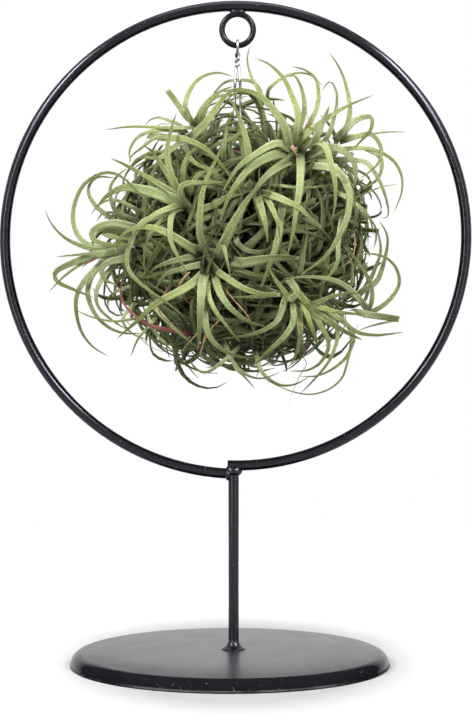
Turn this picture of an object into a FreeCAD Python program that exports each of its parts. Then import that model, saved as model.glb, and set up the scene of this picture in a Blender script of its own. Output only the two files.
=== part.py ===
import FreeCAD, Part
import math
import os

import Sketcher
from FreeCAD import Placement, Rotation, Vector

os.makedirs("parts", exist_ok=True)
doc = FreeCAD.newDocument("air_plant_holder")

# Driving dimensions, in millimetres and degrees; names ending in share or shares are ratios
driving = {
    # Round bar of the hoop and the stem, coating included
    "bar_diameter": 5.2,
    # Hoop: the right-hand arc, and how far the left-hand arc has sprung open beyond it
    "hoop_radius": 114.6,
    "hoop_height": 215.2,
    "hoop_offset": 0.5,
    "hoop_spring": 2.2,
    "hoop_blend_angle": 118,
    "hoop_overhang": 3.1,
    "hoop_root_gap": 0.15,
    # Pressed base dish
    "base_radius": 80.5,
    "base_height": 7.8,
    "base_offset": -3.0,
    "base_land_radius": 9,
    "base_shoulder_radius": 5.2,
    "base_flare_radius": 0.5,
    "base_lip_height": 0.8,
    "base_sheet": 1.5,
    # Stem and its weld fillet on the dish
    "stem_offset": -1.1,
    "foot_weld_radius": 5.9,
    "foot_weld_height": 5.0,
    "foot_weld_collar": 0.5,
    # Weld metal where the hoop's two ends meet the stem
    "end_weld_width": 4.4,
    "end_weld_depth": 3.5,
    "end_weld_height": 3.1,
    "side_weld_width": 1.8,
    "side_weld_depth": 3.1,
    "side_weld_height": 3.2,
    # Eye ring under the top of the hoop, and its weld
    "ring_outer_radius": 9.2,
    "ring_bar_diameter": 2.9,
    "ring_offset": 0.9,
    "ring_weld_width": 4.0,
    "ring_weld_depth": 1.9,
    "ring_weld_height": 1.7,
    # Bright wire that the plant hangs by
    "hanger_diameter": 1.3,
    "loop_clearance": 0.3,
    "strand_gap": 0.1,
    "twist_drop": 3.4,
    "twist_length": 7.4,
    "twist_turns": 1.25,
    "leg_spread": 2.8,
    "leg_taper_length": 10,
    "foot_bend_radius": 1.0,
    "foot_clearance": 0.5,
    # Knot of old stems at the heart of the plant
    "plant_height": 215.2,
    "knot_radius": 20,
    "knot_seat_drop": 18.4,
    "bore_clearance": 0.5,
    "seat_clearance": 0.3,
    # Rosettes: a bulb with strap leaves that bend away from its axis
    "bulb_radius": 7.2,
    "bulb_sink": 1.6,
    "leaf_width": 6.6,
    "leaf_thickness": 1.5,
    "leaf_tip_width": 0.9,
    "leaf_tip_thickness": 0.5,
    "leaf_reach": 79,
    "leaf_root_radius": 4.4,
    "leaf_root_depth": 4.5,
}

sheet = doc.addObject("Spreadsheet::Sheet", "Dims")
for row, (alias, value) in enumerate(driving.items(), start=1):
    sheet.set("A%d" % row, alias)
    sheet.set("B%d" % row, str(value))
    sheet.setAlias("B%d" % row, alias)
doc.recompute()


def size(alias):
    return float(sheet.get(alias))


def bind(feature, **expressions):
    for path, expression in expressions.items():
        feature.setExpression(path.replace("__", "."), expression)


def place(feature, x=None, z=None):
    if x:
        feature.setExpression("Placement.Base.x", x)
    if z:
        feature.setExpression("Placement.Base.z", z)


def new_body(label):
    body = doc.addObject("PartDesign::Body", label)
    body.Label = label
    return body


def origin_plane(body, role):
    return next(f for f in body.Origin.OriginFeatures if f.Role == role)


def new_sketch(body, name, role):
    sketch = body.newObject("Sketcher::SketchObject", body.Name + "_" + name)
    sketch.AttachmentSupport = [(origin_plane(body, role), "")]
    sketch.MapMode = "FlatFace"
    return sketch


def chain(sketch, edges, smooth=()):
    """Add edges that form one closed outline, each joined, or smoothly joined, to the next."""
    first = sketch.addGeometry(edges[0][0], False)
    for edge, _, _ in edges[1:]:
        sketch.addGeometry(edge, False)
    for step, (_, _, end) in enumerate(edges):
        following = (step + 1) % len(edges)
        start = edges[following][1]
        kind = "Tangent" if step in smooth else "Coincident"
        rule(sketch, kind, first + step, end, first + following, start)


def line(start, end):
    return Part.LineSegment(Vector(*start, 0), Vector(*end, 0)), 1, 2


def arc(centre, radius, start_angle, end_angle, clockwise=False):
    """An arc, given in the direction of travel; the sketch itself stores it anticlockwise."""
    circle = Part.Circle(Vector(*centre, 0), Vector(0, 0, 1), radius)
    if clockwise:
        return Part.ArcOfCircle(circle, end_angle, start_angle), 2, 1
    return Part.ArcOfCircle(circle, start_angle, end_angle), 1, 2


def rule(sketch, kind, *where, value=None, driven_by=None):
    arguments = where if value is None else (*where, value)
    index = sketch.addConstraint(Sketcher.Constraint(kind, *arguments))
    if driven_by:
        sketch.setExpression("Constraints[%d]" % index, driven_by)


def revolve(body, sketch, kind):
    feature = body.newObject("PartDesign::" + kind, sketch.Name + "_" + kind.lower())
    feature.Profile = sketch
    feature.ReferenceAxis = (sketch, ["V_Axis"])
    feature.Angle = 360
    body.Tip = feature
    return feature


# Base dish: outline of the pressing from its axis to its trimmed edge, then its hollow


def dish_outline(body, name, radius, top, shoulder, flare, lip, expressions):
    """Half section: flat land, shallow dome, rounded shoulder and, outside, a flared lip."""
    land = size("base_land_radius")
    shoulder_x = radius - flare - shoulder
    shoulder_z = lip + flare
    rise = top - shoulder_z
    run = shoulder_x - land
    dome = (run * run + rise * rise - shoulder * shoulder) / (2 * (rise - shoulder))
    meet = math.atan2(shoulder_z - (top - dome), shoulder_x - land)
    sketch = new_sketch(body, name, "XZ_Plane")
    edges = [
        line((0, 0), (0, top)),
        line((0, top), (land, top)),
        arc((land, top - dome), dome, math.pi / 2, meet, clockwise=True),
        arc((shoulder_x, shoulder_z), shoulder, meet, 0, clockwise=True),
    ]
    wall_x = radius - flare
    if flare:
        edges.append(arc((radius, shoulder_z), flare, math.pi, 3 * math.pi / 2))
        edges.append(line((radius, lip), (radius, 0)))
    else:
        edges.append(line((wall_x, shoulder_z), (wall_x, 0)))
    edges.append(line((radius, 0), (0, 0)))
    chain(sketch, edges, smooth=[2])
    floor = len(edges) - 1
    wall = floor - 1
    rule(sketch, "Coincident", 0, 1, -1, 1)
    rule(sketch, "Vertical", 0)
    rule(sketch, "Horizontal", 1)
    rule(sketch, "Vertical", wall)
    rule(sketch, "Horizontal", floor)
    rule(sketch, "Vertical", 2, 3, 1, 2)
    rule(sketch, "Horizontal", 3, 3, 3, 1)
    rule(sketch, "DistanceY", 0, 1, 0, 2, value=top, driven_by=expressions["top"])
    rule(sketch, "DistanceX", 1, 1, 1, 2, value=land, driven_by="Dims.base_land_radius")
    rule(sketch, "Radius", 3, value=shoulder, driven_by=expressions["shoulder"])
    rule(sketch, "DistanceX", 0, 1, wall, 2, value=radius, driven_by=expressions["radius"])
    rule(sketch, "DistanceY", 0, 1, 3, 3, value=shoulder_z, driven_by=expressions["shoulder_z"])
    if flare:
        rule(sketch, "Horizontal", 4, 3, 4, 1)
        rule(sketch, "Vertical", 4, 3, 4, 2)
        rule(sketch, "Radius", 4, value=flare, driven_by="Dims.base_flare_radius")
    return sketch


def make_base_plate():
    body = new_body("base_plate")
    lip_top = "Dims.base_lip_height + Dims.base_flare_radius"
    outside = dish_outline(
        body, "outside", size("base_radius"), size("base_height"),
        size("base_shoulder_radius"), size("base_flare_radius"), size("base_lip_height"),
        {"top": "Dims.base_height", "radius": "Dims.base_radius",
         "shoulder": "Dims.base_shoulder_radius", "shoulder_z": lip_top})
    full = revolve(body, outside, "Revolution")
    doc.recompute()
    sheet_metal = size("base_sheet")
    hollow = dish_outline(
        body, "hollow", size("base_radius") - size("base_flare_radius") - sheet_metal,
        size("base_height") - sheet_metal, size("base_shoulder_radius") - sheet_metal, 0,
        size("base_lip_height") + size("base_flare_radius"),
        {"top": "Dims.base_height - Dims.base_sheet",
         "radius": "Dims.base_radius - Dims.base_flare_radius - Dims.base_sheet",
         "shoulder": "Dims.base_shoulder_radius - Dims.base_sheet", "shoulder_z": lip_top})
    cut = revolve(body, hollow, "Groove")
    place(body, x="Dims.base_offset")
    doc.recompute()
    assert cut.Shape.Volume < full.Shape.Volume, "the underside of the dish is not hollow"
    return body


# Stem, its weld fillet, and the hoop


def make_stem_rod():
    body = new_body("stem_rod")
    section = new_sketch(body, "section", "XY_Plane")
    section.addGeometry(Part.Circle(Vector(), Vector(0, 0, 1), size("bar_diameter") / 2), False)
    rule(section, "Coincident", 0, 3, -1, 1)
    rule(section, "Diameter", 0, value=size("bar_diameter"), driven_by="Dims.bar_diameter")
    bar = body.newObject("PartDesign::Pad", "stem_rod_pad")
    bar.Profile = section
    bind(bar, Length="Dims.hoop_height - Dims.hoop_radius - Dims.bar_diameter / 2"
                     " - Dims.base_height")
    body.Tip = bar
    place(body, x="Dims.stem_offset", z="Dims.base_height")
    return body


def make_foot_weld():
    """Concave fillet of weld metal round the foot of the stem."""
    body = new_body("stem_foot_weld")
    inner = size("bar_diameter") / 2
    outer = size("foot_weld_radius")
    height = size("foot_weld_height")
    collar = size("foot_weld_collar")
    run = outer - inner
    rise = height - collar
    # The hollow face leaves the collar plumb with the stem, as its circle's centre is level
    # with the top of the fillet
    hollow = (run * run + rise * rise) / (2 * run)
    reach = math.atan2(-rise, run - hollow)
    sketch = new_sketch(body, "section", "XZ_Plane")
    chain(sketch, [
        line((inner, 0), (outer, 0)),
        line((outer, 0), (outer, collar)),
        arc((inner + hollow, height), hollow, 2 * math.pi + reach, math.pi, clockwise=True),
        line((inner, height), (inner, 0)),
    ])
    rule(sketch, "PointOnObject", 0, 1, -1)
    rule(sketch, "Horizontal", 0)
    rule(sketch, "Vertical", 1)
    rule(sketch, "Vertical", 3)
    rule(sketch, "Horizontal", 2, 3, 3, 1)
    rule(sketch, "DistanceX", -1, 1, 0, 1, value=inner, driven_by="Dims.bar_diameter / 2")
    rule(sketch, "DistanceX", -1, 1, 0, 2, value=outer, driven_by="Dims.foot_weld_radius")
    rule(sketch, "DistanceY", 1, 1, 1, 2, value=collar, driven_by="Dims.foot_weld_collar")
    rule(sketch, "DistanceY", 3, 2, 3, 1, value=height, driven_by="Dims.foot_weld_height")
    revolve(body, sketch, "Revolution")
    place(body, x="Dims.stem_offset", z="Dims.base_height")
    return body


def make_hoop():
    """One bar bent to two tangent arcs; its ends miss each other at the stem."""
    body = new_body("hoop")
    radius = size("hoop_radius")
    spring = size("hoop_spring")
    blend = math.radians(size("hoop_blend_angle"))
    centre_x = size("hoop_offset")
    centre_z = size("hoop_height")
    left_x = centre_x - spring * math.cos(blend)
    left_z = centre_z - spring * math.sin(blend)
    right_end_x = size("stem_offset") - size("hoop_overhang")
    left_end_x = size("stem_offset") - size("bar_diameter") / 2 - size("hoop_root_gap")
    right_start = -math.pi / 2 - math.asin((centre_x - right_end_x) / radius)
    left_finish = 3 * math.pi / 2 - math.asin((left_x - left_end_x) / (radius + spring))
    path = new_sketch(body, "path", "XZ_Plane")
    right, _, _ = arc((centre_x, centre_z), radius, right_start, blend)
    left, _, _ = arc((left_x, left_z), radius + spring, blend, left_finish)
    path.addGeometry([right, left], False)
    rule(path, "Tangent", 0, 2, 1, 1)
    rule(path, "Radius", 0, value=radius, driven_by="Dims.hoop_radius")
    rule(path, "Radius", 1, value=radius + spring, driven_by="Dims.hoop_radius + Dims.hoop_spring")
    rule(path, "DistanceX", -1, 1, 0, 3, value=centre_x, driven_by="Dims.hoop_offset")
    rule(path, "DistanceY", -1, 1, 0, 3, value=centre_z, driven_by="Dims.hoop_height")
    rule(path, "DistanceX", -1, 1, 1, 3, value=left_x,
         driven_by="Dims.hoop_offset - Dims.hoop_spring * cos(Dims.hoop_blend_angle * 1deg)")
    rule(path, "DistanceX", -1, 1, 0, 1, value=right_end_x,
         driven_by="Dims.stem_offset - Dims.hoop_overhang")
    rule(path, "DistanceX", -1, 1, 1, 2, value=left_end_x,
         driven_by="Dims.stem_offset - Dims.bar_diameter / 2 - Dims.hoop_root_gap")
    doc.recompute()
    section = body.newObject("Sketcher::SketchObject", "hoop_section")
    section.AttachmentSupport = [(path, "Edge1")]
    section.MapMode = "NormalToEdge"
    section.addGeometry(Part.Circle(Vector(), Vector(0, 0, 1), size("bar_diameter") / 2), False)
    rule(section, "Coincident", 0, 3, -1, 1)
    rule(section, "Diameter", 0, value=size("bar_diameter"), driven_by="Dims.bar_diameter")
    doc.recompute()
    pipe = body.newObject("PartDesign::AdditivePipe", "hoop_bar")
    pipe.Profile = section
    pipe.Spine = (path, ["Edge1", "Edge2"])
    body.Tip = pipe
    return body


# Beads of weld metal: rounded lumps with the bars taken out of them


def make_lump(name, x, z, width, depth, height):
    lump = doc.addObject("Part::Ellipsoid", name)
    bind(lump, Radius1=height, Radius2=width, Radius3=depth)
    place(lump, x=x, z=z)
    return lump


def cut_away(name, base, tools):
    result = base
    for step, tool in enumerate(tools, start=1):
        cut = doc.addObject("Part::Cut", "%s_cut_%d" % (name, step))
        cut.Base = result
        cut.Tool = tool
        result = cut
    result.Label = name
    return result


def make_hoop_weld(hoop, stem):
    end_z = "Dims.hoop_height - Dims.hoop_radius - Dims.bar_diameter / 2"
    end_lump = make_lump("end_lump", "Dims.stem_offset", end_z,
                         "Dims.end_weld_width", "Dims.end_weld_depth", "Dims.end_weld_height")
    side_lump = make_lump(
        "side_lump", "Dims.stem_offset - Dims.bar_diameter / 2 - Dims.hoop_root_gap",
        "Dims.hoop_height - Dims.hoop_radius - 2 * Dims.hoop_spring",
        "Dims.side_weld_width", "Dims.side_weld_depth", "Dims.side_weld_height")
    lumps = doc.addObject("Part::MultiFuse", "hoop_weld_lumps")
    lumps.Shapes = [end_lump, side_lump]
    return cut_away("hoop_weld", lumps, [hoop, stem])


def make_hanging_ring():
    ring = doc.addObject("Part::Torus", "hanging_ring")
    ring.Label = "hanging_ring"
    bind(ring, Radius1="Dims.ring_outer_radius - Dims.ring_bar_diameter / 2",
         Radius2="Dims.ring_bar_diameter / 2")
    ring.Placement = Placement(Vector(), Rotation(Vector(1, 0, 0), 90))
    place(ring, x="Dims.ring_offset",
          z="Dims.hoop_height + Dims.hoop_radius - Dims.bar_diameter / 2"
            " - Dims.ring_outer_radius")
    return ring


def make_ring_weld(hoop, ring):
    lump = make_lump("ring_lump", "Dims.ring_offset",
                     "Dims.hoop_height + Dims.hoop_radius - Dims.bar_diameter / 2",
                     "Dims.ring_weld_width", "Dims.ring_weld_depth", "Dims.ring_weld_height")
    return cut_away("ring_weld", lump, [hoop, ring])


# Hanging wire: one wire, looped over the ring, twisted on itself, and spread under the plant


def rod_between(start, end, radius):
    run = end - start
    return Part.makeCylinder(radius, run.Length, start, run)


def strand(azimuth, radius, wire, bottom, height, pitch):
    """One strand of the twist, which starts at this azimuth at the bottom of the twist."""
    helix = Part.makeHelix(pitch, height, radius)
    heading = Vector(0, 2 * math.pi * radius, pitch)
    section = Part.Wire(Part.makeCircle(wire, Vector(radius, 0, 0), heading))
    solid = Part.Wire(helix.Edges).makePipeShell([section], True, True)
    solid.Placement = Placement(Vector(0, 0, bottom), Rotation(Vector(0, 0, 1), azimuth))
    return solid


def bend(corner, radius, wire, outward):
    """Quarter bend from straight down to outward, whose centre line starts at corner."""
    centre = corner + Vector(outward * radius, 0, 0)
    quarter = Part.makeTorus(radius, wire, Vector(), Vector(0, 0, 1), 0, 360, 90)
    # The quarter lies from +X to +Y; it is turned to run from the leg's side to straight down
    if outward > 0:
        quarter.rotate(Vector(), Vector(0, 0, 1), 180)
    else:
        quarter.rotate(Vector(), Vector(0, 0, 1), 270)
    quarter.rotate(Vector(), Vector(1, 0, 0), 90)
    quarter.translate(centre)
    return quarter


def make_hanger_wire():
    wire = size("hanger_diameter") / 2
    loop = size("ring_bar_diameter") / 2 + size("loop_clearance") + wire
    offset = wire + size("strand_gap") / 2
    top = -size("twist_drop")
    bottom = top - size("twist_length")
    pivot_z = pivot_height()
    seat = size("plant_height") - size("knot_seat_drop") - size("seat_clearance") - pivot_z
    spread = size("leg_spread") / 2
    bend_radius = size("foot_bend_radius")
    # The twist ends beside the loop's two sides, so its turns settle which way the legs face
    facing = 90 - 360 * size("twist_turns")

    # Loop over the ring, with straight sides that run tangent to it down to the twist
    reach = math.hypot(offset, top)
    tangent = math.degrees(math.atan2(top, offset) + math.acos(loop / reach))
    crown = Part.makeTorus(loop, wire, Vector(), Vector(0, 0, 1), 0, 360, 180 - 2 * tangent)
    crown.rotate(Vector(), Vector(0, 0, 1), tangent)
    crown.rotate(Vector(), Vector(1, 0, 0), 90)
    crown.rotate(Vector(), Vector(0, 0, 1), 90)
    pieces = [crown]
    for side in (1, -1):
        shoulder = Vector(0, side * loop * math.cos(math.radians(tangent)),
                          loop * math.sin(math.radians(tangent)))
        throat = Vector(0, side * offset, top)
        pieces.append(rod_between(throat, shoulder, wire))
        pieces.append(Part.makeSphere(wire, throat))

    # Twist, then two legs that spread, go down through the knot and turn out under it
    pitch = size("twist_length") / size("twist_turns")
    for side in (1, -1):
        azimuth = facing if side > 0 else facing + 180
        pieces.append(strand(azimuth, offset, wire, bottom, size("twist_length"), pitch))
        corners = [Vector(side * offset, 0, bottom),
                   Vector(side * spread, 0, bottom - size("leg_taper_length")),
                   Vector(side * spread, 0, seat - wire + bend_radius)]
        leg = []
        for start, end in zip(corners, corners[1:]):
            leg.append(rod_between(start, end, wire))
            leg.append(Part.makeSphere(wire, start))
        leg.append(bend(corners[-1], bend_radius, wire, side))
        heel = Vector(side * (spread + bend_radius), 0, seat - wire)
        toe = Vector(side * foot_reach(), 0, seat - wire)
        leg.append(rod_between(heel, toe, wire))
        for piece in leg:
            piece.rotate(Vector(), Vector(0, 0, 1), facing)
        pieces += leg
    feature = doc.addObject("Part::Feature", "hanger_wire")
    feature.Shape = pieces[0].multiFuse(pieces[1:])
    feature.Placement = Placement(Vector(size("ring_offset"), 0, pivot_z), Rotation())
    return feature


def pivot_height():
    """Height of the lowest point of the ring's centre line, which the loop hangs on."""
    ring_top = size("hoop_height") + size("hoop_radius") - size("bar_diameter") / 2
    return ring_top - 2 * size("ring_outer_radius") + size("ring_bar_diameter") / 2


def foot_reach():
    """How far out a toe may end, so that the lowest bulb passes it as the plant turns."""
    lowest = min(elevation for elevation, _ in rosette_places)
    bulb_centre = size("knot_radius") + size("bulb_radius") - size("bulb_sink")
    bulb_out = bulb_centre * math.cos(math.radians(lowest))
    return bulb_out - size("bulb_radius") - size("foot_clearance")


# The plant: a knot of old stems, bored for the wire's legs, with rosettes all round it


def make_stem_knot():
    body = new_body("stem_knot")
    radius = size("knot_radius")
    bore = (size("leg_spread") + size("hanger_diameter")) / 2 + size("bore_clearance")
    seat = size("knot_seat_drop")
    bore_expression = "(Dims.leg_spread + Dims.hanger_diameter) / 2 + Dims.bore_clearance"
    low = -math.asin(seat / radius)
    high = math.acos(bore / radius)
    sketch = new_sketch(body, "section", "XZ_Plane")
    top_z = radius * math.sin(high)
    chain(sketch, [
        arc((0, 0), radius, low, high),
        line((bore, top_z), (bore, -seat)),
        line((bore, -seat), (radius * math.cos(low), -seat)),
    ])
    rule(sketch, "Coincident", 0, 3, -1, 1)
    rule(sketch, "Radius", 0, value=radius, driven_by="Dims.knot_radius")
    rule(sketch, "Vertical", 1)
    rule(sketch, "Horizontal", 2)
    rule(sketch, "DistanceX", -1, 1, 1, 1, value=bore, driven_by=bore_expression)
    rule(sketch, "DistanceY", 1, 2, -1, 1, value=seat, driven_by="Dims.knot_seat_drop")
    revolve(body, sketch, "Revolution")
    place(body, x="Dims.ring_offset", z="Dims.plant_height")
    return body


# Where each rosette grows on the knot: elevation, and azimuth from straight ahead to the right.
# They stand at least a bulb's width apart, and leave the poles free for the wire.
rosette_places = [
    (46, 42), (15, -30), (-15, -13), (-26, 33), (15, 12), (-5, -71), (52, -56), (-28, 84),
    (12, 62), (-39, -52), (-54, -4), (50, 125), (50, -145), (9, 143), (8, -168), (6, -119),
    (14, 103), (-32, 128), (-33, 178), (-32, -118),
]
# The leaves of one rosette, from the outermost in: reach, lean within its room, root height
leaf_reach_shares = [0.66, 0.72, 0.69, 0.78, 0.84, 0.88, 0.94, 0.97, 1.00]
leaf_lean_shares = [0.88, 0.88, 0.86, 0.87, 0.84, 0.78, 0.66, 0.48, 0.24]
leaf_root_shares = [0.10, 0.16, 0.22, 0.28, 0.36, 0.46, 0.56, 0.68, 0.80]
leaf_heading = 6
golden_angle = 137.5
# Width and thickness of a leaf along its length, as shares of those at its root
leaf_station_shares = [0, 0.3, 0.62, 1]
leaf_width_shares = [1.0, 0.92, 0.62, 0]
leaf_thickness_shares = [1.0, 0.85, 0.6, 0]


def rosette_directions():
    directions = []
    for elevation, azimuth in rosette_places:
        across = math.radians(azimuth)
        up = math.radians(elevation)
        directions.append(Vector(math.sin(across) * math.cos(up),
                                 -math.cos(across) * math.cos(up), math.sin(up)))
    return directions


def room_for_leaf(towards, neighbours):
    """Angle from the rosette's axis, +Z, at which a leaf would meet a neighbour's share."""
    limits = [math.pi / 2]
    for other in neighbours:
        closing = towards.dot(other)
        if closing > 0:
            limits.append(math.atan((1 - other.z) / closing))
    return min(limits)


def make_leaf(index, azimuth, neighbours):
    """A tapering strap along an arc that leaves the bulb and bends away from the axis."""
    outward = Vector(math.cos(azimuth), math.sin(azimuth), 0)
    across = Vector(-math.sin(azimuth), math.cos(azimuth), 0)
    upward = Vector(0, 0, 1)
    room = room_for_leaf(outward, neighbours)
    root_out = size("leaf_root_radius") * (1 - leaf_root_shares[index])
    root_up = size("knot_radius") + size("leaf_root_depth")
    root_up += size("bulb_radius") * leaf_root_shares[index] / 2
    tip_angle = room * leaf_lean_shares[index]
    tip_reach = size("leaf_reach") * leaf_reach_shares[index]
    tip_out = tip_reach * math.sin(tip_angle)
    tip_up = tip_reach * math.cos(tip_angle)
    chord_angle = math.atan2(tip_out - root_out, tip_up - root_up)
    heading = min(math.radians(leaf_heading), chord_angle / 2)
    turn = 2 * (chord_angle - heading)
    chord = math.hypot(tip_out - root_out, tip_up - root_up)
    radius = chord / (2 * math.sin(turn / 2))
    sections = []
    shares = zip(leaf_station_shares, leaf_width_shares, leaf_thickness_shares)
    for station, wide, thick in shares:
        angle = heading + turn * station
        out = root_out + radius * (math.cos(heading) - math.cos(angle))
        up = root_up + radius * (math.sin(angle) - math.sin(heading))
        middle = outward * out + upward * up
        under = outward * math.cos(angle) - upward * math.sin(angle)
        half = (size("leaf_width") * wide + size("leaf_tip_width") * (1 - wide)) / 2
        deep = size("leaf_thickness") * thick + size("leaf_tip_thickness") * (1 - thick)
        corners = [middle - across * half, middle + under * deep, middle + across * half]
        sections.append(Part.makePolygon(corners + corners[:1]))
    return Part.makeLoft(sections, True, False)


def make_rosette(number, direction, others):
    turn = Rotation(Vector(0, 0, 1), direction)
    neighbours = [turn.inverted().multVec(other) for other in others]
    centre = Vector(0, 0, size("knot_radius") + size("bulb_radius") - size("bulb_sink"))
    bulb = Part.makeSphere(size("bulb_radius"), centre)
    leaves = []
    for index in range(len(leaf_reach_shares)):
        azimuth = math.radians(golden_angle * index + 360 * number / len(others))
        leaves.append(make_leaf(index, azimuth, neighbours))
    knot = Part.makeSphere(size("knot_radius"))
    feature = doc.addObject("Part::Feature", "rosette_%02d" % number)
    feature.Shape = bulb.multiFuse(leaves).cut(knot)
    middle = Vector(size("ring_offset"), 0, size("plant_height"))
    feature.Placement = Placement(middle, turn)
    return feature


def make_rosettes():
    directions = rosette_directions()
    # The wire's way in and out, above and below, is kept free as if a rosette stood there
    taken = directions + [Vector(0, 0, 1), Vector(0, 0, -1)]
    rosettes = []
    for number, direction in enumerate(directions, start=1):
        others = [other for other in taken if other != direction]
        rosettes.append(make_rosette(number, direction, others))
    return rosettes


base_plate = make_base_plate()
stem_rod = make_stem_rod()
foot_weld = make_foot_weld()
hoop = make_hoop()
hoop_weld = make_hoop_weld(hoop, stem_rod)
hanging_ring = make_hanging_ring()
ring_weld = make_ring_weld(hoop, hanging_ring)
stem_knot = make_stem_knot()
hanger_wire = make_hanger_wire()
nodes = [base_plate, stem_rod, foot_weld, hoop, hoop_weld, hanging_ring, ring_weld,
         hanger_wire, stem_knot] + make_rosettes()
doc.recompute()

for feature in doc.Objects:
    assert not {"Invalid", "Error"} & set(feature.State), feature.Label + " failed"
for node in nodes:
    assert not node.Shape.isNull(), node.Label + " is empty"
    assert node.Shape.isValid(), node.Label + " is not a valid shape"
for node in nodes:
    node.Shape.exportStep(os.path.join("parts", node.Label + ".step"))
    solids = len(node.Shape.Solids)
    print("%-16s %2d solid(s) %10.1f mm3" % (node.Label, solids, node.Shape.Volume))
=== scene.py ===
import math

import bpy
import numpy as np
from mathutils import Euler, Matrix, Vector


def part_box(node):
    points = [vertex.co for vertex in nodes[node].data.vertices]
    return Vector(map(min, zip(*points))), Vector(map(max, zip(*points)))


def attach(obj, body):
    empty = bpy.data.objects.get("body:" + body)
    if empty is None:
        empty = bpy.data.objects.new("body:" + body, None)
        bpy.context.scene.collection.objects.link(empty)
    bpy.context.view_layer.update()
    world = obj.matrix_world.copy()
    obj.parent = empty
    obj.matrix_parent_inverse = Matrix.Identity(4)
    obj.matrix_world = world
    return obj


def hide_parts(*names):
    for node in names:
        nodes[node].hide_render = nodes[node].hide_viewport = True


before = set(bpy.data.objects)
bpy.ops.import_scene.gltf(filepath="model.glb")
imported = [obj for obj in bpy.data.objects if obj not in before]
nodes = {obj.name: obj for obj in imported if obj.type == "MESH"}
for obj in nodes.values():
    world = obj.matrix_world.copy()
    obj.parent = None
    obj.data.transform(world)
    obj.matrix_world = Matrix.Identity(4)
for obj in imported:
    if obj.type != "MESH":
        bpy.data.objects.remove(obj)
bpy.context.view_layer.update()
print("frame loaded,", len(nodes), "nodes")

mm = 0.001

# Camera and photo

photoView = {
    "width": 472,              # the photo's frame, in pixels
    "height": 720,
    "place": (0.0001, -1.25, 0.2188),
    "pitch": -2.985,           # degrees from level
    "lens": 125,               # millimetres
    "sensor": 36,              # its height, in millimetres
}

pitch = math.radians(photoView["pitch"])
cameraData = bpy.data.cameras.new("camera")
cameraData.sensor_fit = "VERTICAL"
cameraData.sensor_height = photoView["sensor"]
cameraData.lens = photoView["lens"]
cameraData.clip_end = 50
camera = bpy.data.objects.new("camera", cameraData)
camera.location = photoView["place"]
camera.rotation_euler = (math.radians(90) + pitch, 0, 0)
bpy.context.scene.collection.objects.link(camera)
bpy.context.scene.camera = camera


# A pixel of the photo and a distance y in depth give one place in space: the ray from the camera
# through that pixel, forward + right * across / focal + up * high / focal, is followed to that y.
def fromPhoto(pixels, depth):
    focal = photoView["lens"] / photoView["sensor"] * photoView["height"]
    across = (pixels[..., 0] - photoView["width"] / 2) / focal
    high = (photoView["height"] / 2 - pixels[..., 1]) / focal
    forward = np.array([0, math.cos(pitch), math.sin(pitch)])
    upward = np.array([0, -math.sin(pitch), math.cos(pitch)])
    rays = forward + across[..., None] * np.array([1, 0, 0]) + high[..., None] * upward
    start = np.array(photoView["place"])
    reach = (depth - start[1]) / rays[..., 1]
    return start + rays * reach[..., None]


# Light, floor and background

studio = {
    "ambient": 0.14,            # what the room's light adds to a matt surface
    "boxes": [                  # name, place, sides in metres, turn in degrees, watts
        ("boxLeft", (-1.0, -0.95, 1.1), (0.5, 0.5), 0, 22),
        ("boxRight", (1.0, -0.95, 1.1), (0.5, 0.5), 0, 19),
        ("boxTop", (0.0, -0.3, 1.75), (1.1, 1.1), 0, 13),
    ],
    "strips": [                 # the same for lamps that only shine back from gloss, as streaks
        ("stripLeft", (-0.83, -1.0, 0.94), (1.4, 0.17), -48, 22),
        ("stripRight", (0.8, -1.0, 0.98), (1.6, 0.14), 45, 36),
        ("sideLeft", (-0.85, -1.05, 0.3), (0.08, 0.9), 0, 8),
        ("sideRight", (0.95, -1.0, 0.35), (0.08, 0.9), 0, 5),
    ],
    "aim": (0, 0, 0.2),         # what every lamp looks at
    "floorRadius": 0.6,
    "floorCorners": 64,
    "floorColour": (0.535, 0.535, 0.535, 1),
    # the lift is least round the base, which paints a soft grey shadow there
    "floorGlow": (0.0, 0.7),    # lifts the floor to the photo's white, least round the base
    "floorPaintedShadowFade": (0.1, 0.19),   # where that lift begins and is full, metres from the middle
    "floorPaintedShadowShape": (1.6, 1, 1),  # from side to side the lift begins this much nearer
}
white = (1, 1, 1, 1)


def addNode(tree, kind, inputs=None, **settings):
    made = tree.nodes.new("ShaderNode" + kind)
    for key, value in settings.items():
        setattr(made, key, value)
    for key, value in (inputs or {}).items():
        if isinstance(value, bpy.types.NodeSocket):
            tree.links.new(value, made.inputs[key])
        else:
            made.inputs[key].default_value = value
    return made


# A value from low to high becomes one from toLow to toHigh, and never leaves that stretch
def spread(tree, value, low, high, toLow=0.0, toHigh=1.0, kind="LINEAR"):
    return addNode(tree, "MapRange", {"Value": value, "From Min": low, "From Max": high,
                                      "To Min": toLow, "To Max": toHigh},
                   interpolation_type=kind).outputs[0]


def times(tree, first, second):
    return addNode(tree, "Math", {0: first, 1: second}, operation="MULTIPLY").outputs[0]


def larger(tree, first, second):
    return addNode(tree, "Math", {0: first, 1: second}, operation="MAXIMUM").outputs[0]


# 1 for what the camera, gloss or glass sees, 0 for the light that a matt surface gathers
def seenDirectly(tree):
    path = addNode(tree, "LightPath").outputs
    return larger(tree, larger(tree, path["Is Camera Ray"], path["Is Glossy Ray"]),
                  path["Is Transmission Ray"])


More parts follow.
